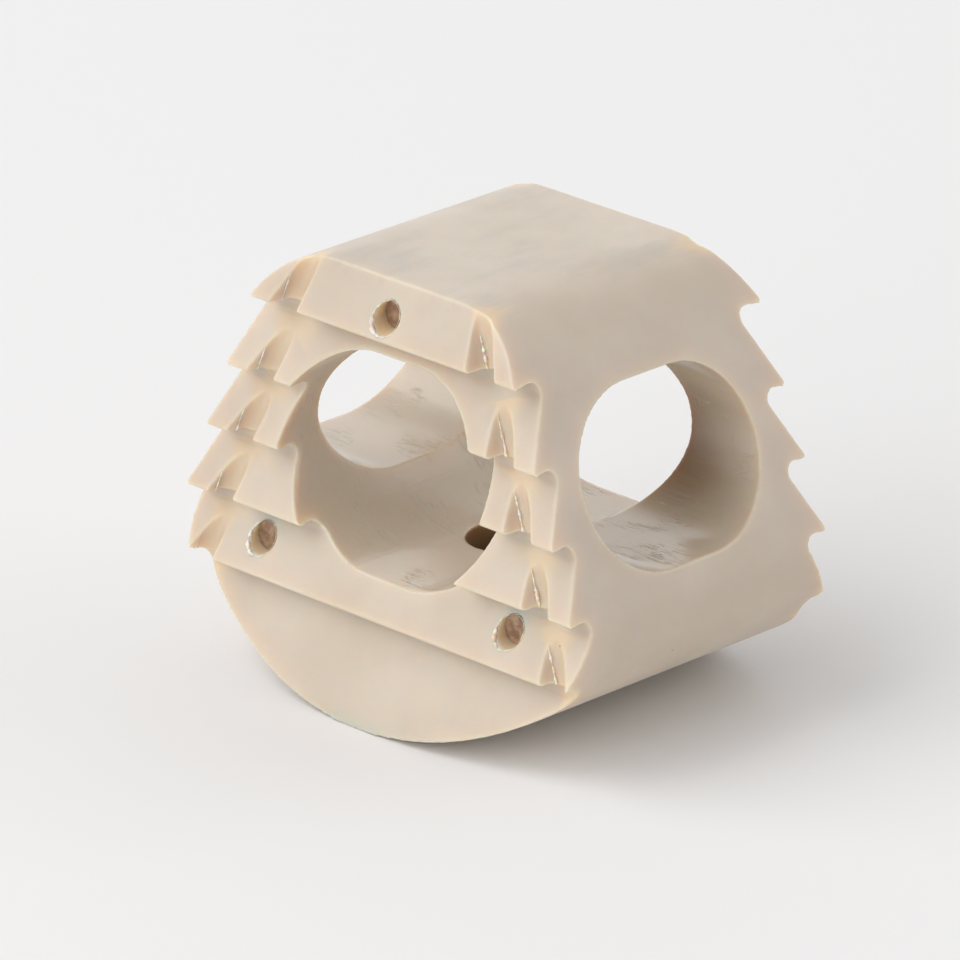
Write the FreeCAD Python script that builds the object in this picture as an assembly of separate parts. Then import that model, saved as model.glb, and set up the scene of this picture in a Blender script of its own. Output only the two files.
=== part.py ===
import FreeCAD
import Part
import math
import os

# Cervical interbody cage: a trapezoid ring of polymer that sits between two vertebrae.
# X runs from side to side, Y along the spine and Z from the front to the back of the neck.
# The cage stands on its curved anterior wall, at Z = 0, with its flat posterior face up.
# Depths are measured down from the posterior face, and every length is in millimetres.

V = FreeCAD.Vector

# Body of the cage: its footprint, as seen along the spine, and the heights at its two ends
ap_depth = 11.55
posterior_width = 8.30
side_taper_deg = 20.7
posterior_height = 7.44
posterior_corner_r = 2.85
anterior_wall_r = 10.4
anterior_corner_r = 2.3
rim_height = 10.70

# Saw teeth of the two endplate faces: a sloped flank, a tip and a slightly undercut underside
tooth_count = 5
first_tip_depth = 1.53
second_tip_depth = 3.55
tooth_pitch = 1.79
first_tip_height = 8.94
lordosis_deg = 4.3
flank_deg = 28.8
undercut_deg = 8.0
root_r = 0.26
tip_r = 0.09

# Two round-bottomed grooves in each endplate face, one beside each side wall
groove_inset = 1.22
groove_first_depth = 0.68
groove_last_depth = 0.56
groove_deg = 40.0
groove_bottom_r = 0.34

# Graft window, right through the ring along the spine
window_width = 7.15
window_length = 5.76
window_depth = 5.01

# Side windows, one through each side wall
side_window_width = 6.12
side_window_length = 4.50
side_window_depth = 4.36

# Hole for the inserter, through the middle of the anterior wall
inserter_hole_d = 1.95

# X-ray marker pins, pressed into blind holes and sunk a little below the flank
marker_d = 0.80
marker_length = 7.0
posterior_marker_recess = 0.36
anterior_marker_recess = 0.22
posterior_marker_depth = 0.89
anterior_marker_depth = 7.97
anterior_marker_spread = 8.77

# How far a cutting solid reaches past the cage
spare = 2.0

flank = math.radians(flank_deg)
undercut = math.radians(undercut_deg)
taper = math.radians(side_taper_deg)
lordosis = math.radians(lordosis_deg)
widest = posterior_width / 2 + math.tan(taper) * ap_depth


def tip_height(depth):
    """Cage height over the tooth tips at this depth, which grows with the lordosis."""
    return first_tip_height + 2 * math.tan(lordosis / 2) * (depth - first_tip_depth)


def tooth_root(tip, next_end):
    """Depth and cage height where the underside of a tooth meets the flank below it."""
    rise = math.tan(undercut)
    spread = math.tan(flank)
    inward = (tip[1] - next_end[1]) / 2 + spread * (next_end[0] - tip[0])
    inward = inward / (1 - rise * spread)
    return (tip[0] - rise * inward, tip[1] - 2 * inward)


tip_depths = [first_tip_depth]
for tooth in range(tooth_count - 1):
    tip_depths.append(second_tip_depth + tooth_pitch * tooth)

# Each flank ends at a tooth tip, and the last one at the anterior rim
flank_ends = [(tip, tip_height(tip)) for tip in tip_depths] + [(ap_depth, rim_height)]

# The first flank starts at the posterior face, and each other one at the root below a tooth
flank_starts = [(0, posterior_height)]
for tip, next_end in zip(flank_ends, flank_ends[1:]):
    flank_starts.append(tooth_root(tip, next_end))
tallest = max(height for depth, height in flank_ends) / 2


def polar(centre, radius, angle):
    """Point on a circle, in a flat pair of coordinates."""
    return (centre[0] + radius * math.cos(angle), centre[1] + radius * math.sin(angle))


def arc(place, centre, radius, start, end):
    """Arc edge between two angles, laid in its plane by place."""
    points = [place(*polar(centre, radius, angle)) for angle in (start, (start + end) / 2, end)]
    return Part.Arc(*points).toShape()


def fillet_centre(corner, normal_a, normal_b, radius):
    """Centre of a round between two straight sides, given the angles of their normals."""
    reach = radius / (1 + math.cos(normal_a - normal_b))
    across = math.cos(normal_a) + math.cos(normal_b)
    up = math.sin(normal_a) + math.sin(normal_b)
    return (corner[0] + reach * across, corner[1] + reach * up)


def slope_of(start, end):
    """How far a flank leans out for each millimetre of depth."""
    return (end[1] - start[1]) / 2 / (end[0] - start[0])


def flank_y(depth):
    """Half the cage's height on the flank that holds this depth."""
    for start, end in zip(flank_starts, flank_ends):
        if depth <= end[0]:
            return start[1] / 2 + slope_of(start, end) * (depth - start[0])
    return rim_height / 2


def footprint_edges(side):
    """Half of the ring's outline in X and Z, from the top centre to the bottom centre."""
    def place(x, z):
        return V(side * x, 0, z)

    # distance of the side wall from the origin, along its own normal
    normal = (math.cos(taper), math.sin(taper))
    reach = normal[0] * posterior_width / 2 + normal[1] * ap_depth

    # posterior corner, tangent to the posterior face and to the side wall
    back_z = ap_depth - posterior_corner_r
    back_x = (reach - posterior_corner_r - normal[1] * back_z) / normal[0]
    back = (back_x, back_z)

    # anterior corner, tangent to the side wall and inside the curved anterior wall
    inset = reach - anterior_corner_r
    middle = (0, anterior_wall_r)
    drop = (normal[0] * inset, normal[1] * inset - anterior_wall_r)
    along = normal[0] * drop[1] - normal[1] * drop[0]
    span = (anterior_wall_r - anterior_corner_r) ** 2 - drop[0] ** 2 - drop[1] ** 2
    slide = -along - math.sqrt(along ** 2 + span)
    front = (normal[0] * inset - normal[1] * slide, normal[1] * inset + normal[0] * slide)
    turn = math.atan2(front[1] - middle[1], front[0])

    wall_top = polar(back, posterior_corner_r, taper)
    wall_foot = polar(front, anterior_corner_r, taper)
    return [
        Part.makeLine(place(0, ap_depth), place(back_x, ap_depth)),
        arc(place, back, posterior_corner_r, math.pi / 2, taper),
        Part.makeLine(place(*wall_top), place(*wall_foot)),
        arc(place, front, anterior_corner_r, taper, turn),
        arc(place, middle, anterior_wall_r, turn, -math.pi / 2),
    ]


def footprint_block():
    """The ring's outline drawn out along the spine, taller than the cage."""
    edges = footprint_edges(1) + footprint_edges(-1)
    face = Part.Face(Part.Wire(Part.__sortEdges__(edges)))
    face.translate(V(0, -tallest - spare, 0))
    return face.extrude(V(0, 2 * (tallest + spare), 0))


def tooth_edges(side):
    """Saw-tooth edge of one endplate face in Y and Z, from above the cage to below it."""
    def place(y, z):
        return V(0, side * y, z)

    flanks = list(zip(flank_starts, flank_ends))
    start = place(posterior_height / 2 - slope_of(*flanks[0]) * spare, ap_depth + spare)
    below = -math.pi / 2 - undercut
    edges = []
    for (flank_start, tip), (root, next_tip) in zip(flanks, flanks[1:]):
        # rounded tip, between the flank above it and its underside
        lean = math.atan(slope_of(flank_start, tip))
        centre = fillet_centre((tip[1] / 2, ap_depth - tip[0]), lean, below, -tip_r)
        edges.append(Part.makeLine(start, place(*polar(centre, tip_r, lean))))
        edges.append(arc(place, centre, tip_r, lean, below))
        start = place(*polar(centre, tip_r, below))

        # rounded root, between the underside and the next flank
        lean = math.atan(slope_of(root, next_tip))
        centre = fillet_centre((root[1] / 2, ap_depth - root[0]), lean, below, root_r)
        edges.append(Part.makeLine(start, place(*polar(centre, -root_r, below))))
        edges.append(arc(place, centre, -root_r, below, lean))
        start = place(*polar(centre, -root_r, lean))
    slope = math.tan(lean)
    edges.append(Part.makeLine(start, place(rim_height / 2 + slope * spare, -spare)))
    return edges


def tooth_block():
    """Solid between the two saw-tooth faces, wider than the ring."""
    upper = tooth_edges(1)
    lower = tooth_edges(-1)
    top = upper[0].Vertexes[0].Point
    foot = upper[-1].Vertexes[-1].Point
    ends = [
        Part.makeLine(top, V(0, -top.y, top.z)),
        Part.makeLine(foot, V(0, -foot.y, foot.z)),
    ]
    face = Part.Face(Part.Wire(Part.__sortEdges__(upper + lower + ends)))
    face.translate(V(-widest - spare, 0, 0))
    return face.extrude(V(2 * (widest + spare), 0, 0))


def slot_block(width, length, reach):
    """Round-ended slot in X and Z about the origin, drawn out both ways along Y."""
    radius = min(width, length) / 2
    half_width = width / 2 - radius
    half_length = length / 2 - radius
    ends = [V(-half_width, -reach, -half_length), V(half_width, -reach, half_length)]
    slot = Part.makeCylinder(radius, 2 * reach, ends[0], V(0, 1, 0))
    if width != length:
        slot = slot.fuse(Part.makeCylinder(radius, 2 * reach, ends[1], V(0, 1, 0)))
        flat_x = half_width or radius
        flat_z = half_length or radius
        middle = Part.makeBox(2 * flat_x, 2 * reach, 2 * flat_z, V(-flat_x, -reach, -flat_z))
        slot = slot.fuse(middle).removeSplitter()
    return slot


def window_cut():
    """Graft window between the two endplate faces."""
    slot = slot_block(window_width, window_length, tallest + spare)
    slot.translate(V(0, 0, ap_depth - window_depth))
    return slot


def side_window_cut():
    """Both side windows, as one slot across the ring."""
    slot = slot_block(side_window_width, side_window_length, widest + spare)
    slot.rotate(V(0, 0, 0), V(0, 0, 1), 90)
    slot.translate(V(0, 0, ap_depth - side_window_depth))
    return slot


def inserter_cut():
    """Hole from under the anterior wall up into the graft window."""
    top = ap_depth - window_depth
    return Part.makeCylinder(inserter_hole_d / 2, top + spare, V(0, 0, -spare), V(0, 0, 1))


def groove_cut(side, face):
    """Groove beside one side wall of one endplate face, from above the cage to the last tip."""
    # the bottom of the groove runs in a straight line, parallel to the side wall
    start_depth = tip_depths[0]
    top_y = tip_height(tip_depths[0]) / 2 - groove_first_depth
    last_y = tip_height(tip_depths[-1]) / 2 - groove_last_depth
    fall = tip_depths[-1] - tip_depths[0]
    run = V(side * math.tan(taper), face * (last_y - top_y) / fall, -1)
    out = V(0, face, 0)
    along = run * (1 / run.Length)
    out = (out - along * out.dot(along)).normalize()
    across = along.cross(out)

    # section of the cutter: a round bottom between two walls that lean apart
    half = math.radians(groove_deg) / 2
    rise = groove_first_depth + spare
    foot_out = groove_bottom_r * math.cos(half)
    foot_up = groove_bottom_r * (1 - math.sin(half))
    rim_out = foot_out + (rise - foot_up) * math.tan(half)
    origin = V(side * (posterior_width / 2 + math.tan(taper) * start_depth - groove_inset),
               face * top_y, ap_depth - start_depth)
    origin = origin - run * (start_depth + spare)

    def place(sideways, up):
        return origin + across * sideways + out * up

    left = place(-rim_out, rise)
    right = place(rim_out, rise)
    low_left = place(-foot_out, foot_up)
    low_right = place(foot_out, foot_up)
    bottom = place(0, 0)
    edges = [
        Part.makeLine(left, low_left),
        Part.Arc(low_left, bottom, low_right).toShape(),
        Part.makeLine(low_right, right),
        Part.makeLine(right, left),
    ]
    section = Part.Face(Part.Wire(edges))
    length = tip_depths[-1] + spare + root_r
    return section.extrude(run * length)


def marker_places():
    """For each marker pin its name, centre in X, depth, and how far it is sunk."""
    half = anterior_marker_spread / 2
    return [
        ("posterior_marker_pin", 0, posterior_marker_depth, posterior_marker_recess),
        ("left_marker_pin", -half, anterior_marker_depth, anterior_marker_recess),
        ("right_marker_pin", half, anterior_marker_depth, anterior_marker_recess),
    ]


def marker_bar(x, depth, sunk, length):
    """Bar of the markers' diameter along the spine, its front end this far below the flank."""
    start = V(x, -flank_y(depth) + sunk, ap_depth - depth)
    return Part.makeCylinder(marker_d / 2, length, start, V(0, 1, 0))


def cage_body():
    """The ring with its teeth, windows, grooves and holes."""
    body = footprint_block().common(tooth_block())
    body = body.cut(window_cut()).cut(side_window_cut()).cut(inserter_cut())
    for side in (1, -1):
        for face in (1, -1):
            body = body.cut(groove_cut(side, face))
    for name, x, depth, sunk in marker_places():
        body = body.cut(marker_bar(x, depth, -spare, spare + sunk + marker_length))
    return body


def solid_of(shape):
    """The single solid of a result, checked before it is kept."""
    if len(shape.Solids) != 1 or not shape.isValid():
        raise ValueError("the shape is not one valid solid")
    return shape.Solids[0]


os.makedirs("parts", exist_ok=True)
pieces = {"cage_body": cage_body()}
for pin_name, pin_x, pin_depth, pin_sunk in marker_places():
    pieces[pin_name] = marker_bar(pin_x, pin_depth, pin_sunk, marker_length)
for name, shape in pieces.items():
    piece = solid_of(shape)
    piece.exportStep("parts/" + name + ".step")
    box = piece.optimalBoundingBox()
    print(name, "volume %.2f mm3" % piece.Volume)
    print("  X %.2f to %.2f, Y %.2f to %.2f, Z %.2f to %.2f"
          % (box.XMin, box.XMax, box.YMin, box.YMax, box.ZMin, box.ZMax))
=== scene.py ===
# %% [markdown]
# # A cervical interbody cage in PEEK
#
# The real object is a ring of beige implant polymer, about 14 mm wide, that a surgeon puts
# between two vertebrae of the neck. It is milled from one block, so it has flat flanks, small
# corner radii, and edges that were tumbled soft. Three metal pins in blind holes let it be
# found on an X-ray.
#
# This lesson loads the measured parts, gives the polymer its softened edges, and then works on
# what the eye judges first: a satin, slightly see-through plastic under soft studio light.

# %% Load the measured parts
import bpy
import bmesh
import math
from mathutils import Matrix, Vector
from mathutils.bvhtree import BVHTree


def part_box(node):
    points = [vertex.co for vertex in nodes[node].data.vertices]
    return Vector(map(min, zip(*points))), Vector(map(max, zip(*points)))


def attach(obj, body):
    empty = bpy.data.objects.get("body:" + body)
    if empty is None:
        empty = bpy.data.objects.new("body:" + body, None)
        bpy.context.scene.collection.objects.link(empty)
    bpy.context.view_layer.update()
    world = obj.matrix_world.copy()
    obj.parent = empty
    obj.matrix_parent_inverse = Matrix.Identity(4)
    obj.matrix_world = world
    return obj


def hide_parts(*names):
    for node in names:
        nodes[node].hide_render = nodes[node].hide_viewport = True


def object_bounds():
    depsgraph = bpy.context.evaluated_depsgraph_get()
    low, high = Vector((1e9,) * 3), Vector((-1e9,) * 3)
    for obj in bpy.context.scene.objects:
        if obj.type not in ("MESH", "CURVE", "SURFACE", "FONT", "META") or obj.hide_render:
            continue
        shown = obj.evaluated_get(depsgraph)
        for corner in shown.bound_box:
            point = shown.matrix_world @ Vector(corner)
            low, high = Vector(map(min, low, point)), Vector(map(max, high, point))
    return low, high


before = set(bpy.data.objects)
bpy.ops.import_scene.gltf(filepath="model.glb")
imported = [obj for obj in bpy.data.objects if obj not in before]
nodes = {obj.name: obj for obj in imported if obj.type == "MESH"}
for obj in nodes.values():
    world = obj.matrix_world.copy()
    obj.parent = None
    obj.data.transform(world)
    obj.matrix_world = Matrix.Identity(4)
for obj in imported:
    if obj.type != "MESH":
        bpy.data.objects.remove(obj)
cad_low, cad_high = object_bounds()
MM = 0.001
size_mm = [round(side / MM, 2) for side in cad_high - cad_low]
print("parts:", sorted(nodes))
print("width, height and depth in mm:", size_mm)

# %% [markdown]
# ## Small helpers
#
# Colours are written as sRGB hex values, the way a paint chip gives them, and Blender wants
# them linear, so one function converts them all. A second one adds a node together with its
# settings and links, and a third joins two values by one sum, product or the like. They keep
# each material below as short as a recipe.

# %% Colour and node helpers
def linear(hex_colour):
    """Linear RGBA from an sRGB hex value such as #D9C7AE."""
    channels = [int(hex_colour[at:at + 2], 16) / 255 for at in (1, 3, 5)]
    return [
        c / 12.92 if c <= 0.04045 else ((c + 0.055) / 1.055) ** 2.4 for c in channels
    ] + [1.0]


def add_node(tree, kind, settings=None, inputs=None):
    """Add a node, set its properties, and fill or link its inputs."""
    node = tree.nodes.new(kind)
    for name, value in (settings or {}).items():
        setattr(node, name, value)
    for name, value in (inputs or {}).items():
        if isinstance(value, bpy.types.NodeSocket):
            tree.links.new(value, node.inputs[name])
        else:
            node.inputs[name].default_value = value
    return node


def combine(tree, operation, *values, kind="ShaderNodeMath"):
    """Join two values, each a number, a vector or a socket, and give the result's socket."""
    node = add_node(tree, kind, settings={"operation": operation})
    for socket, value in zip(node.inputs, values):
        if isinstance(value, bpy.types.NodeSocket):
            tree.links.new(value, socket)
        else:
            socket.default_value = value
    return node.outputs[0]


def new_material(name):
    """An empty node material and its tree."""
    material = bpy.data.materials.new(name)
    material.use_nodes = True
    material.node_tree.nodes.clear()
    return material, material.node_tree


print("a test colour, linear:", [round(c, 3) for c in linear("#808080")])

# %% [markdown]
# ## The camera
#
# Product photographs of small parts are taken from far away with a long lens, so that parallel
# edges stay nearly parallel. Here the camera stands about 25 cm from the cage, turned 45
# degrees to it and 22 degrees up. The lens length then follows from how large the cage is
# in the picture. A very small roll levels the picture with the cage's own upright edges.

# %% Place the camera
CAMERA_TURN = math.radians(44.81)
CAMERA_RISE = math.radians(21.66)
CAMERA_ROLL = math.radians(0.116)
CAMERA_DISTANCE = 248.283 * MM
CAMERA_TARGET = Vector((-0.297, -0.575, 5.275)) * MM
LENS_MM = 370.07
SENSOR_MM = 36.0

back = Vector((
    math.sin(CAMERA_TURN) * math.cos(CAMERA_RISE),
    -math.cos(CAMERA_TURN) * math.cos(CAMERA_RISE),
    math.sin(CAMERA_RISE),
))
camera_data = bpy.data.cameras.new("camera")
camera_data.lens = LENS_MM
camera_data.sensor_width = SENSOR_MM
camera_data.clip_start = 10 * MM
camera_data.clip_end = 20.0
camera = bpy.data.objects.new("camera", camera_data)
bpy.context.scene.collection.objects.link(camera)
facing = (-back).to_track_quat("-Z", "Y").to_matrix()
roll = Matrix.Rotation(CAMERA_ROLL, 3, back)
stand = Matrix.Translation(CAMERA_TARGET + back * CAMERA_DISTANCE)
camera.matrix_world = stand @ (roll @ facing).to_4x4()
bpy.context.scene.camera = camera
print("camera stands at, in mm:", [round(c / MM, 1) for c in camera.location])

# %% [markdown]
# ## Floor and light
#
# The cage is so pale that its shape is told by small steps of grey. It stands in a light tent:
# two softboxes on the left and in front model the flanks, and one high and two low ones
# behind give the side walls and the window rims their sheen. The side wall that faces
# right gets the least, and reads as one calm shade. The floor is a plain near-white sheet: its
# own colour makes the pale background, so the lamps can stay low and nothing clips.

# %% Lay the floor
FLOOR_HALF = 2.5
floor_mesh = bpy.data.meshes.new("floor")
corners = [(-FLOOR_HALF, -FLOOR_HALF, 0), (FLOOR_HALF, -FLOOR_HALF, 0),
           (FLOOR_HALF, FLOOR_HALF, 0), (-FLOOR_HALF, FLOOR_HALF, 0)]
floor_mesh.from_pydata(corners, [], [(0, 1, 2, 3)])
floor = bpy.data.objects.new("floor", floor_mesh)
bpy.context.scene.collection.objects.link(floor)
floor_material, tree = new_material("matt white backdrop board")
board = add_node(tree, "ShaderNodeBsdfDiffuse", inputs={"Color": linear("#F8F7F7")})
add_node(tree, "ShaderNodeOutputMaterial", inputs={"Surface": board.outputs[0]})
floor_mesh.materials.append(floor_material)
print("floor is", 2 * FLOOR_HALF, "m wide")

# %% Hang the lamps
LAMP_DISTANCE = 0.6
LAMP_WIDTH = 0.5


def soft_lamp(name, turn_deg, rise_deg, level):
    """Square area lamp that faces the cage and lights a white card there to this level."""
    turn = math.radians(turn_deg)
    rise = math.radians(rise_deg)
    direction = Vector((
        math.sin(turn) * math.cos(rise), -math.cos(turn) * math.cos(rise), math.sin(rise)))
    lamp_data = bpy.data.lights.new(name, "AREA")
    lamp_data.size = LAMP_WIDTH
    lamp_data.energy = level * math.pi ** 2 * LAMP_DISTANCE ** 2
    lamp = bpy.data.objects.new(name, lamp_data)
    bpy.context.scene.collection.objects.link(lamp)
    lamp.location = direction * LAMP_DISTANCE
    lamp.rotation_mode = "QUATERNION"
    lamp.rotation_quaternion = direction.to_track_quat("Z", "Y")
    print(name, "power", round(lamp_data.energy, 2), "W")


soft_lamp("left softbox", -45, 50, 0.48)
soft_lamp("front softbox", 0, 20, 0.40)
soft_lamp("high rear softbox", 180, 50, 0.08)
soft_lamp("right rear softbox", 135, 20, 0.22)
soft_lamp("left rear softbox", -135, 20, 0.12)

# %% Close the tent round them
# its cloth fills the shadows softly, and is brighter where it is seen or mirrored
TENT_FILL = 0.38
TENT_SEEN = 0.70
world = bpy.data.worlds.new("studio")
world.use_nodes = True
tree = world.node_tree
tree.nodes.clear()
ray = add_node(tree, "ShaderNodeLightPath").outputs
seen = combine(tree, "MAXIMUM", ray["Is Camera Ray"], ray["Is Glossy Ray"])
seen = combine(tree, "MAXIMUM", seen, ray["Is Transmission Ray"])
level = add_node(tree, "ShaderNodeMapRange", inputs={
    "Value": seen, "To Min": TENT_FILL, "To Max": TENT_SEEN})
cloth = add_node(tree, "ShaderNodeBackground", inputs={
    "Color": linear("#FFFFFF"), "Strength": level.outputs["Result"]})
add_node(tree, "ShaderNodeOutputWorld", inputs={"Surface": cloth.outputs[0]})
bpy.context.scene.world = world
bpy.context.scene.view_settings.view_transform = "Standard"
print("tent fills with", TENT_FILL, "and is seen as", TENT_SEEN)

# %% [markdown]
# ## The milled body and its softened edges
#
# After milling, such implants are tumbled or blasted, so every outer edge and every window rim
# ends in a small round. A bevel would have to find its way round tooth roots, grooves and
# holes that meet at odd angles. It is safer to wrap the whole body in one even skin of small
# squares and to relax that skin a little: flat faces stay flat, and only edges and corners
# give way, just as they do in the tumbler.

# %% Copy the body and weld it
WELD = 0.0005 * MM


def welded_copy(node, name):
    """Copy of a measured part as one closed mesh."""
    mesh = nodes[node].data.copy()
    mesh.name = name
    work = bmesh.new()
    work.from_mesh(mesh)
    bmesh.ops.remove_doubles(work, verts=work.verts, dist=WELD)
    open_edges = sum(1 for edge in work.edges if len(edge.link_faces) != 2)
    work.to_mesh(mesh)
    work.free()
    piece = bpy.data.objects.new(name, mesh)
    bpy.context.scene.collection.objects.link(piece)
    print(name, "has", len(mesh.polygons), "triangles and", open_edges, "open edges")
    return piece


body = welded_copy("cage_body", "peek_cage_body")
sharp_body = BVHTree.FromPolygons(
    [corner.co[:] for corner in body.data.vertices],
    [face.vertices[:] for face in body.data.polygons])

# %% Wrap it in a fine skin and relax the edges
SKIN_STEP = 0.036 * MM
RELAX_FACTOR = 0.5
RELAX_STEPS = 17
MOST_TRIANGLES = 190000


def bake(piece):
    """Turn the piece's modifiers into its mesh."""
    graph = bpy.context.evaluated_depsgraph_get()
    mesh = bpy.data.meshes.new_from_object(piece.evaluated_get(graph))
    piece.modifiers.clear()
    piece.data = mesh


def shade_smooth(piece):
    """Shade every face of the piece smoothly."""
    faces = piece.data.polygons
    faces.foreach_set("use_smooth", [True] * len(faces))


skin = body.modifiers.new("skin", "REMESH")
skin.mode = "VOXEL"
skin.voxel_size = SKIN_STEP
skin.adaptivity = 0.0
relax = body.modifiers.new("relax", "SMOOTH")
relax.factor = RELAX_FACTOR
relax.iterations = RELAX_STEPS
bake(body)
print("skin has", len(body.data.polygons), "faces")

thin = body.modifiers.new("thin", "DECIMATE")
thin.ratio = min(1.0, MOST_TRIANGLES / (2 * len(body.data.polygons)))
bake(body)
shade_smooth(body)
print("thinned to", len(body.data.polygons), "triangles")

# %% [markdown]
# ## Where the edges wore, where the cutters went, and where light and shade are painted
#
# The finish of such a part changes with the tool that made each surface. Handled edges are
# polished a shade lighter, and the lighter tint is also a painted highlight where the rounds
# catch the light. The windows keep the fine feed marks of an end mill, the grooves are polished
# smooth by a ball cutter, and painted shade and a painted warm glow colour the drilled holes,
# the groove walls and one wall of the right side window. Each of these is stored on
# the skin as a number from 0 to 1, so that one material can show them all.
#
# Worn edges need no painting by hand. Where the relaxed skin has sunk below the sharp solid
# there was an edge, and the deeper it sank the sharper the edge was.

# %% Mark the worn edges, which carry a painted highlight too
FULL_WEAR = 0.035 * MM


def mark(piece, name, values):
    """Store one number for each point of the mesh."""
    layer = piece.data.attributes.new(name, "FLOAT", "POINT")
    layer.data.foreach_set("value", values)
    print(name, "is on average", round(sum(values) / len(values), 3))


def mark_body(name, value_at):
    """Store on the body what the function gives for each point of its skin."""
    mark(body, name, [value_at(corner.co) for corner in body.data.vertices])


def unit(value):
    """The value, kept between 0 and 1."""
    return min(1.0, max(0.0, value))


def wear_and_highlight_at(point):
    """How far the skin sank below the sharp solid here, from 0 to 1."""
    spot, normal, _, distance = sharp_body.find_nearest(point)
    sunk = (spot - point).dot(normal) > 0
    return unit(distance / FULL_WEAR) if sunk else 0.0


mark_body("edge_wear_and_highlight", wear_and_highlight_at)

# %% Mark the milled windows
# each window is a slot: the height of its middle, the radius of its ends, half its flat length
WINDOW_MIDDLE, WINDOW_R, WINDOW_FLAT = 6.54 * MM, 2.88 * MM, 0.695 * MM
SIDE_MIDDLE, SIDE_R, SIDE_FLAT = 7.19 * MM, 2.25 * MM, 0.81 * MM
# a point of the skin this close to a wall counts as on it
TOUCH = 0.03 * MM


def in_slot(across, up, radius, flat):
    """Whether a point lies in a round-ended slot, or on its wall."""
    return math.hypot(max(abs(across) - flat, 0.0), up) < radius + TOUCH


def in_side_window(point):
    """Whether a point of the skin is on the wall of a side window."""
    return in_slot(point.y, point.z - SIDE_MIDDLE, SIDE_R, SIDE_FLAT)


def milled_at(point):
    """1 on the wall of any window, and 0 elsewhere."""
    in_graft_window = in_slot(point.x, point.z - WINDOW_MIDDLE, WINDOW_R, WINDOW_FLAT)
    return float(in_graft_window or in_side_window(point))


mark_body("milled_wall", milled_at)

# %% Paint shade on a wall in the right side window
# painted shade: this wall is made darker and browner towards the inner lower ends of the right
# side window, as shadow makes it there; the left side window gets none
RIM_X = 5.85 * MM
INNER_X = 3.50 * MM
TAPER = math.tan(math.radians(20.7))
SHADE_AT_MIDDLE = 0.65
SHADE_FALL = 0.6


def painted_shade_at(point):
    """From 0 to 1 towards the inner lower ends of the right side window."""
    if point.x < 0 or not in_side_window(point):
        return 0.0
    untapered = point.x - TAPER * (SIDE_MIDDLE - point.z)
    deep = unit((RIM_X - untapered) / (RIM_X - INNER_X))
    end = unit((abs(point.y) - SIDE_FLAT) / SIDE_R)
    low = unit(SHADE_AT_MIDDLE - SHADE_FALL * (point.z - SIDE_MIDDLE) / SIDE_R)
    return deep * end * low


mark_body("painted_shade", painted_shade_at)

# %% Mark the drilled holes, for their painted glow and shade
PINS = ("posterior_marker_pin", "left_marker_pin", "right_marker_pin")
INSERTER_R = 0.975 * MM
INSERTER_TOP = 4.2 * MM
PIN_HOLES_END = 3 * MM
PIN_HOLE_TOUCH = 0.009 * MM
pin_holes = []
for pin in PINS:
    low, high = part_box(pin)
    pin_holes.append(((low[0] + high[0]) / 2, (low[2] + high[2]) / 2, (high[0] - low[0]) / 2))


def hole_glow_and_shade_at(point):
    """1 on the wall of the long inserter hole, 0.5 in the short marker holes, and 0 elsewhere."""
    if math.hypot(point.x, point.y) < INSERTER_R + TOUCH and point.z < INSERTER_TOP:
        return 1.0
    for x, z, radius in pin_holes:
        near = math.hypot(point.x - x, point.z - z) < radius + PIN_HOLE_TOUCH
        if near and point.y < PIN_HOLES_END:
            return 0.5
    return 0.0


mark_body("hole_glow_and_shade", hole_glow_and_shade_at)
print("pin holes, radius in mm:", [round(hole[2] / MM, 2) for hole in pin_holes])

# %% Mark the grooves
# the bottom line of one groove; the other three mirror it
GROOVE_TOP = Vector((3.508, 3.79, 10.02)) * MM
GROOVE_FOOT = Vector((6.302, 4.188, 2.63)) * MM
GROOVE_REACH = 0.442 * MM
groove_run = (GROOVE_FOOT - GROOVE_TOP).normalized()


def groove_at(point):
    """From 0 a little above the round of a groove to 1 along its bottom line."""
    reach = Vector((abs(point.x), abs(point.y), point.z)) - GROOVE_TOP
    across = reach - groove_run * reach.dot(groove_run)
    return unit(1.0 - across.length / GROOVE_REACH)


mark_body("groove", groove_at)

# %% [markdown]
# ## PEEK, natural and unfilled
#
# PEEK is an opaque to milky implant polymer. Light enters it by some tenths of a millimetre
# before it comes out again, and red travels furthest, which warms thin edges, tooth tips and
# the walls of holes. Its refractive index of 1.65 is high for a plastic, so the face that is
# seen at a low angle mirrors the pale studio and looks greyer than the flanks. Milled and
# washed, it has a satin skin with the finest cutter marks, a few hairline scratches and here
# and there a dark speck from the moulded block.

# %% Mix the polymer's colour
PEEK_DEEP = "#CEC0AE"
PEEK_PALE = "#D4C7B6"
# edges: worn, and lighter also as a painted highlight
PEEK_WORN_AND_LIT = "#E9DEC8"
PEEK_MILLED = "#D1C3B0"
# a painted warm glow on the walls of the marker holes, and painted shade in the inserter hole
PEEK_HOLE_GLOW = "#DCCBAA"
PEEK_HOLE_SHADE = "#9A7C5A"
PEEK_SPECK = "#6E5A44"
PEEK_SMEAR = "#BDB4A8"
# a painted warm glow on the groove walls
PEEK_GROOVE_GLOW = "#E6CDA8"
# painted shade for the inner lower ends of the right side window
PEEK_PAINTED_SHADE = "#80603F"


def mix_colour(tree, factor, first, second):
    """Blend two colours, each a hex value or a socket, by a factor."""
    blend = add_node(tree, "ShaderNodeMix", settings={"data_type": "RGBA"})
    tree.links.new(factor, blend.inputs["Factor"])
    colour_inputs = [socket for socket in blend.inputs if socket.type == "RGBA"]
    for socket, value in zip(colour_inputs, (first, second)):
        if isinstance(value, str):
            socket.default_value = linear(value)
        else:
            tree.links.new(value, socket)
    return [socket for socket in blend.outputs if socket.type == "RGBA"][0]


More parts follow.
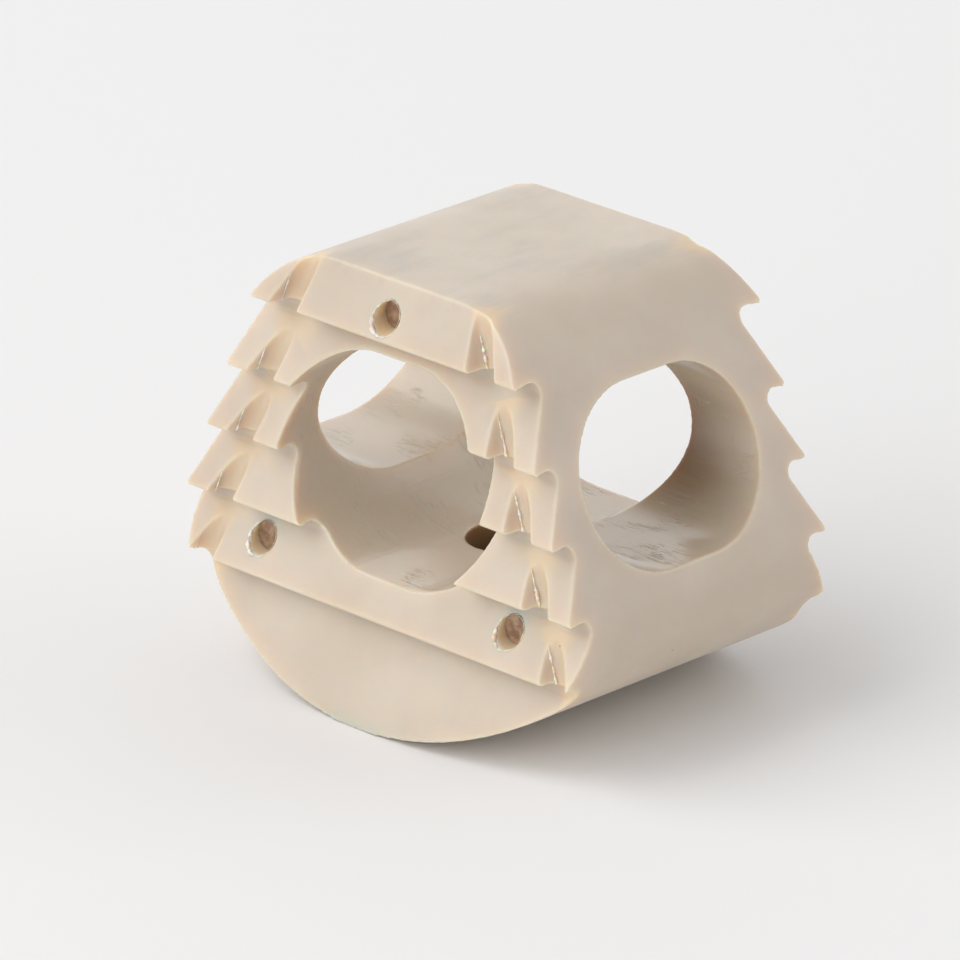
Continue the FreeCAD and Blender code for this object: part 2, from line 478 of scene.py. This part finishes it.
def fade(tree, value, low, high, top=1.0, bottom=0.0):
    """Map a value from low..high to bottom..top, smoothly at both ends."""
    settings = {"interpolation_type": "SMOOTHSTEP"}
    node = add_node(tree, "ShaderNodeMapRange", settings, {
        "Value": value, "From Min": low, "From Max": high, "To Min": bottom, "To Max": top})
    return node.outputs["Result"]


def stored(tree, name):
    """A number that was stored on the skin."""
    return add_node(tree, "ShaderNodeAttribute", {"attribute_name": name}).outputs["Fac"]


def noise(tree, place, size, detail, **more):
    """A noise with grains of about this size; further inputs are given by name."""
    inputs = {"Vector": place, "Scale": 1 / size, "Detail": detail, **more}
    return add_node(tree, "ShaderNodeTexNoise", inputs=inputs)


def stretched(tree, place, turn, stretch):
    """Coordinates that are turned, in radians, and scaled along each axis."""
    node = add_node(tree, "ShaderNodeMapping", inputs={
        "Vector": place, "Rotation": turn, "Scale": stretch})
    return node.outputs["Vector"]


def bump(tree, height, strength, distance, normal=None):
    """Normals bent by a height, on top of the bumps that come before."""
    inputs = {"Height": height, "Strength": strength, "Distance": distance}
    if normal is not None:
        inputs["Normal"] = normal
    return add_node(tree, "ShaderNodeBump", inputs=inputs).outputs["Normal"]


# each stored mark, where it begins and is full, its share of the colour, and the colour
# some rows paint light: shade in the right side window and the inserter hole, a highlight on the
# edges, a warm glow in the marker holes
TINTS = (
    ("milled_wall", 0.0, 1.0, 0.8, PEEK_MILLED),
    ("painted_shade", 0.0, 1.0, 0.9, PEEK_PAINTED_SHADE),
    ("edge_wear_and_highlight", 0.1, 1.0, 0.7, PEEK_WORN_AND_LIT),
    ("hole_glow_and_shade", 0.0, 0.5, 1.0, PEEK_HOLE_GLOW),
    ("hole_glow_and_shade", 0.5, 1.0, 1.0, PEEK_HOLE_SHADE),
)
peek, tree = new_material("milled PEEK")
place = add_node(tree, "ShaderNodeTexCoord").outputs["Object"]
mottle = noise(tree, place, 2.5 * MM, 3.0, Roughness=0.5).outputs["Fac"]
colour = mix_colour(tree, fade(tree, mottle, 0.35, 0.65), PEEK_DEEP, PEEK_PALE)
for name, low, high, share, tint in TINTS:
    colour = mix_colour(tree, fade(tree, stored(tree, name), low, high, share), colour, tint)
print("polymer colours:", PEEK_DEEP, PEEK_PALE, PEEK_WORN_AND_LIT)

# %% Add the smears, the painted glow in the grooves and the specks
# only the flat posterior face is smeared grey, as if it had lain on the machine's table
SMEAR_FULL, SMEAR_BEGINS = 11.5 * MM, 11.1 * MM
smear_space = stretched(tree, place, (0.0, 0.0, 0.5), (1.0, 0.35, 1.0))
smears = noise(tree, smear_space, 1.1 * MM, 5.0, Roughness=0.6).outputs["Fac"]
height = add_node(tree, "ShaderNodeSeparateXYZ", inputs={"Vector": place}).outputs["Z"]
smear = combine(tree, "MULTIPLY", fade(tree, smears, 0.46, 0.68, 0.5),
                fade(tree, height, SMEAR_BEGINS, SMEAR_FULL))
colour = mix_colour(tree, smear, colour, PEEK_SMEAR)
# the grooves get a painted warm glow, as light through the polymer and between their walls gives
# them
groove_glow = fade(tree, stored(tree, "groove"), 0.0, 0.5, 0.55)
colour = mix_colour(tree, groove_glow, colour, PEEK_GROOVE_GLOW)
specks = add_node(tree, "ShaderNodeTexVoronoi", inputs={
    "Vector": place, "Scale": 1 / (1.9 * MM), "Randomness": 1.0})
speck = fade(tree, specks.outputs["Distance"], 0.012, 0.020, 0.0, 0.7)
colour = mix_colour(tree, speck, colour, PEEK_SPECK)
print("smears lie above", round(SMEAR_BEGINS / MM, 1), "mm")

# %% Cut the tool marks into it
FEED_STEP = 0.14 * MM
milled_wall = stored(tree, "milled_wall")
grain = noise(tree, place, 0.12 * MM, 2.0).outputs["Fac"]
normal = bump(tree, grain, 0.15, 0.01 * MM)

# feed marks of the end mill run round the windows, so they are short along Y and long across
feed_space = stretched(tree, place, (0.0, 0.0, 0.0), (0.2, 1.0, 0.2))
feed = noise(tree, feed_space, FEED_STEP, 3.0, Roughness=0.6).outputs["Fac"]
normal = bump(tree, combine(tree, "MULTIPLY", feed, milled_wall), 0.2, 0.02 * MM, normal)

# where the mill chattered it left small flakes, in patches about a millimetre wide
flakes = noise(tree, feed_space, 0.12 * MM, 4.0, Roughness=0.7, Distortion=0.6).outputs["Fac"]
patches = noise(tree, place, 1.3 * MM, 1.0).outputs["Fac"]
in_patch = combine(
    tree, "MULTIPLY", fade(tree, flakes, 0.52, 0.66), fade(tree, patches, 0.50, 0.62))
normal = bump(tree, combine(tree, "MULTIPLY", in_patch, milled_wall), 0.6, 0.025 * MM, normal)

# hairline scratches, each the thin ridge line of a stretched noise
scratch_space = stretched(tree, place, (0.4, 0.3, 0.9), (1.0, 0.04, 0.6))
scratches = noise(tree, scratch_space, 0.25 * MM, 1.0).outputs["Fac"]
normal = bump(tree, fade(tree, scratches, 0.70, 0.76), 0.3, 0.008 * MM, normal)
print("feed marks every", round(FEED_STEP / MM, 2), "mm")

# %% Join them in one satin, milky shader
SATIN_ROUGHEST, SATIN_SMOOTHEST = 0.44, 0.36
CUT_ROUGHNESS = 0.20
GROOVE_GLOSS = 0.4
PEEK_IOR = 1.65
gloss = noise(tree, place, 0.6 * MM, 2.0).outputs["Fac"]
satin = fade(tree, gloss, 0.3, 0.7, SATIN_ROUGHEST, SATIN_SMOOTHEST)
cutter_gloss = combine(
    tree, "MAXIMUM", fade(tree, stored(tree, "groove"), 0.35, 0.7, GROOVE_GLOSS), milled_wall)
roughness = add_node(tree, "ShaderNodeMix", settings={"data_type": "FLOAT"}, inputs={
    "Factor": cutter_gloss, "A": satin, "B": CUT_ROUGHNESS})
skin_shader = add_node(tree, "ShaderNodeBsdfPrincipled", inputs={
    "Base Color": colour, "Roughness": roughness.outputs["Result"], "IOR": PEEK_IOR,
    "Subsurface Weight": 1.0, "Subsurface Radius": (1.0, 0.6, 0.35), "Subsurface Scale": 0.7 * MM,
    "Normal": normal})
add_node(tree, "ShaderNodeOutputMaterial", inputs={"Surface": skin_shader.outputs[0]})
body.data.materials.clear()
body.data.materials.append(peek)
print("polymer shader has", len(tree.nodes), "nodes")

# %% [markdown]
# ## The marker pins
#
# The pins are taken to be lengths of tantalum wire, cut off and pushed home. Their ends look
# dull and smeared, so they are a rough metal mottled at a fifth of a millimetre. The metal is
# tinted brown: partly the dull smear of the cut ends, partly a painted reflection of the warm
# polymer round the pins.

# %% Marker metal
metal, tree = new_material("cut tantalum wire")
place = add_node(tree, "ShaderNodeTexCoord").outputs["Object"]
scuff = noise(tree, place, 0.22 * MM, 4.0, Roughness=0.65).outputs["Fac"]
# brown partly as a painted reflection of the warm polymer round the pin
shade = mix_colour(tree, fade(tree, scuff, 0.35, 0.65), "#8E705A", "#B5997F")
metal_shader = add_node(tree, "ShaderNodeBsdfPrincipled", inputs={
    "Base Color": shade, "Metallic": 0.5, "Roughness": 0.45,
    "Normal": bump(tree, scuff, 0.25, 0.02 * MM)})
add_node(tree, "ShaderNodeOutputMaterial", inputs={"Surface": metal_shader.outputs[0]})
for pin in PINS:
    for used in nodes[pin].material_slots:
        used.material = metal
print("metal on", len(PINS), "pins")

# %% [markdown]
# ## The burr round each drilled hole
#
# A drill pushes up a thin lip of polymer as it enters, and tumbling doesn't quite remove it. On
# the real cage each marker hole has such a lip, white where it stands free and ragged along
# its edge. It follows the mouth of the hole, which isn't flat, because the flank slopes. So the
# mouth is first found by looking along the drill at the sharp solid, and Geometry Nodes then
# run an uneven cord of polymer along that line. The same tree serves all three holes, with
# another seed for each.

# %% Find the mouth of each hole
MOUTH_POINTS = 96
MOUTH_TURNS = [2 * math.pi * step / MOUTH_POINTS for step in range(MOUTH_POINTS)]
MOUTH_GAP = 0.012 * MM
FLAP_WIDTH = 0.075 * MM
HEAVY_SIDE = math.radians(215)
LEAST_HEFT = 0.14
HEFT_POWER = 1.5
OUT_IN_FRONT = 20 * MM


def heft_at(turn):
    """How thick the lip is at this angle: the drill leans on one side as it enters."""
    lean = max(0.0, math.cos(turn - HEAVY_SIDE)) ** HEFT_POWER
    return LEAST_HEFT + (1 - LEAST_HEFT) * lean


def mouth_line(x, z, radius):
    """Line round the mouth of a hole, on the flank that it was drilled into."""
    points = []
    for turn in MOUTH_TURNS:
        reach = radius + MOUTH_GAP + FLAP_WIDTH * (heft_at(turn) - LEAST_HEFT)
        start = Vector((x + reach * math.cos(turn), -OUT_IN_FRONT, z + reach * math.sin(turn)))
        spot, *_ = sharp_body.ray_cast(start, Vector((0, 1, 0)))
        points.append(spot)
    return points


mouths = [mouth_line(*hole) for hole in pin_holes]
print("mouth depths in mm:", [round(line[0].y / MM, 2) for line in mouths])

# %% Torn polymer, paler than the block
# the same pale polymer also makes the painted highlight threads in the grooves
burr_and_glint_material, tree = new_material("torn PEEK burr and glint thread")
place = add_node(tree, "ShaderNodeTexCoord").outputs["Object"]
torn = noise(tree, place, 0.15 * MM, 3.0).outputs["Fac"]
shade = mix_colour(tree, fade(tree, torn, 0.38, 0.55), "#DCCBB0", "#F6EFE4")
burr_shader = add_node(tree, "ShaderNodeBsdfPrincipled", inputs={
    "Base Color": shade, "Roughness": 0.3, "IOR": PEEK_IOR, "Subsurface Weight": 1.0,
    "Subsurface Radius": (1.0, 0.45, 0.22), "Subsurface Scale": 0.1 * MM})
add_node(tree, "ShaderNodeOutputMaterial", inputs={"Surface": burr_shader.outputs[0]})
print("burr shader has", len(tree.nodes), "nodes")

# %% Build the burr tree
CORD_POINTS = 260
CORD_SIDES = 7


def burr_tree():
    """Geometry Nodes: a ragged cord of polymer along the line of the mesh that it is given."""
    group = bpy.data.node_groups.new("drill burr", "GeometryNodeTree")
    sockets = group.interface
    sockets.new_socket("Mouth", in_out="INPUT", socket_type="NodeSocketGeometry")
    for name, value in (("Lip Thickness", 0.03 * MM), ("Raggedness", 0.03 * MM),
                        ("Tear Size", 0.12 * MM), ("Seed", 1.0)):
        socket = sockets.new_socket(name, in_out="INPUT", socket_type="NodeSocketFloat")
        socket.default_value = value
    sockets.new_socket("Burr", in_out="OUTPUT", socket_type="NodeSocketGeometry")
    given = add_node(group, "NodeGroupInput").outputs
    line = add_node(group, "GeometryNodeMeshToCurve", inputs={"Mesh": given["Mouth"]})
    even = add_node(group, "GeometryNodeResampleCurve", inputs={
        "Curve": line.outputs[0], "Count": CORD_POINTS})

    # one noise tears the line sideways and makes the cord swell and shrink
    tear = add_node(group, "ShaderNodeTexNoise", settings={"noise_dimensions": "4D"}, inputs={
        "Vector": add_node(group, "GeometryNodeInputPosition").outputs[0], "W": given["Seed"],
        "Scale": combine(group, "DIVIDE", 1.0, given["Tear Size"]), "Detail": 3.0})
    centred = combine(group, "SUBTRACT", tear.outputs["Color"], (0.5, 0.5, 0.5),
                      kind="ShaderNodeVectorMath")
    push = add_node(group, "ShaderNodeVectorMath", settings={"operation": "SCALE"}, inputs={
        0: centred, "Scale": given["Raggedness"]})
    ragged = add_node(group, "GeometryNodeSetPosition", inputs={
        "Geometry": even.outputs[0], "Offset": push.outputs[0]})
    swell = add_node(group, "ShaderNodeMapRange", inputs={
        "Value": tear.outputs["Fac"], "From Min": 0.35, "From Max": 0.65,
        "To Min": 0.15, "To Max": 1.5})
    heft = add_node(group, "GeometryNodeInputNamedAttribute", settings={"data_type": "FLOAT"},
                    inputs={"Name": "heft"})
    radius = add_node(group, "GeometryNodeSetCurveRadius", inputs={
        "Curve": ragged.outputs[0],
        "Radius": combine(group, "MULTIPLY", swell.outputs["Result"], heft.outputs[0])})
    profile = add_node(group, "GeometryNodeCurvePrimitiveCircle", inputs={
        "Resolution": CORD_SIDES, "Radius": given["Lip Thickness"]})
    cord = add_node(group, "GeometryNodeCurveToMesh", inputs={
        "Curve": radius.outputs[0], "Profile Curve": profile.outputs[0], "Fill Caps": False,
        "Scale": add_node(group, "GeometryNodeInputRadius").outputs[0]})
    real = add_node(group, "GeometryNodeRealizeInstances", inputs={"Geometry": cord.outputs[0]})
    coated = add_node(group, "GeometryNodeSetMaterial", inputs={
        "Geometry": real.outputs[0], "Material": burr_and_glint_material})
    add_node(group, "NodeGroupOutput", inputs={"Burr": coated.outputs[0]})
    return group


lip_tree = burr_tree()
print("burr tree has", len(lip_tree.nodes), "nodes")

# %% Run a burr round each mouth
def ragged_cord(name, lines, hefts, settings):
    """Ragged cords along some lines of points, as one plain mesh; heft scales their thickness."""
    points = [point for line in lines for point in line]
    edges, first = [], 0
    for line in lines:
        edges += [(first + at, first + at + 1) for at in range(len(line) - 1)]
        first += len(line)
    mesh = bpy.data.meshes.new(name)
    mesh.from_pydata(points, edges, [])
    cord = bpy.data.objects.new(name, mesh)
    bpy.context.scene.collection.objects.link(cord)
    mark(cord, "heft", hefts)
    burr = cord.modifiers.new("burr", "NODES")
    burr.node_group = lip_tree
    for item in lip_tree.interface.items_tree:
        if item.in_out == "INPUT" and item.name in settings:
            burr[item.identifier] = settings[item.name]
    bake(cord)
    shade_smooth(cord)
    print(name, "has", len(cord.data.polygons), "faces")
    return cord


burrs = []
mouth_hefts = [heft_at(turn) for turn in MOUTH_TURNS + [2 * math.pi]]
for pin, line, seed in zip(PINS, mouths, (3.0, 10.0, 17.0)):
    name = pin.replace("_marker_pin", "_hole_burr")
    look = {"Lip Thickness": 0.055 * MM, "Raggedness": 0.07 * MM, "Tear Size": 0.16 * MM,
            "Seed": seed}
    burrs.append(ragged_cord(name, [line + line[:1]], mouth_hefts, look))

# %% [markdown]
# ## The painted highlight in each groove
#
# A bright line runs down each groove that can be seen, left of its bottom, and ends at the tip
# of each tooth. It is a glint on the polished groove wall, and here it is a painted highlight:
# a fine thread of pale polymer laid on the wall, so that it shows bright in the same place. In
# the right groove it lies on the foot of the inner wall, in the left one higher up on the
# outer wall, and the far grooves get the same. The line is found with rays, like the mouths of
# the holes, and is kept only where it hits a wall of the groove, whose normal leans sideways.
# The same Geometry Nodes tree lays the thread.

# %% Find the thread lines in a groove
THREAD_LIFT = 0.014 * MM
THREAD_STEP = 0.025 * MM
ABOVE_TOP = 0.9 * MM
BELOW_FOOT = 1.5 * MM
LEANS_SIDEWAYS = 0.35
FACES_UP_OR_DOWN = 0.6
FEWEST_POINTS = 9
LEFT_SHIFT, RIGHT_SHIFT = -0.36 * MM, -0.24 * MM


def thread_lines(side, face, shift):
    """Where the wall of a groove is cut at this shift from its bottom, a line for each tooth."""
    lines, line = [], []
    steps = int((GROOVE_TOP.z - GROOVE_FOOT.z + ABOVE_TOP + BELOW_FOOT) / THREAD_STEP)
    for step in range(steps):
        z = GROOVE_TOP.z + ABOVE_TOP - step * THREAD_STEP
        middle = GROOVE_TOP + groove_run * ((z - GROOVE_TOP.z) / groove_run.z)
        start = Vector((side * middle.x + shift, face * OUT_IN_FRONT, z))
        spot, normal, *_ = sharp_body.ray_cast(start, Vector((0, -face, 0)))
        cut = (spot is not None and abs(normal.x) > LEANS_SIDEWAYS
               and abs(normal.z) < FACES_UP_OR_DOWN)
        if cut:
            line.append(spot + normal * THREAD_LIFT)
        elif line:
            lines.append(line)
            line = []
    return [line for line in lines if len(line) >= FEWEST_POINTS]


print("threads in the front right groove:", len(thread_lines(1, -1, RIGHT_SHIFT)))

# %% Lay a painted highlight thread along every groove
# each thread is a painted highlight: a pale cord where the groove wall glints
# name, sides in X and in Y, shift from the groove's bottom, thickness and seed
THREADS = (
    ("front_left_groove_glint_thread", -1, -1, LEFT_SHIFT, 0.024 * MM, 36.0),
    ("back_left_groove_glint_thread", -1, 1, LEFT_SHIFT, 0.024 * MM, 42.0),
    ("front_right_groove_glint_thread", 1, -1, RIGHT_SHIFT, 0.038 * MM, 38.0),
    ("back_right_groove_glint_thread", 1, 1, RIGHT_SHIFT, 0.038 * MM, 44.0),
)
THIN_START = 0.2
THICKENS = 2.0
threads = []
for name, side, face, shift, thickness, seed in THREADS:
    lines = thread_lines(side, face, shift)
    hefts = [unit(THIN_START + THICKENS * at / len(line))
             for line in lines for at in range(len(line))]
    look = {"Lip Thickness": thickness, "Raggedness": 0.02 * MM, "Tear Size": 0.2 * MM,
            "Seed": seed}
    threads.append(ragged_cord(name, lines, hefts, look))

# %% Tie the pieces to their parts and finish
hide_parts("cage_body")
for piece in [body] + burrs + threads:
    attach(piece, "root")
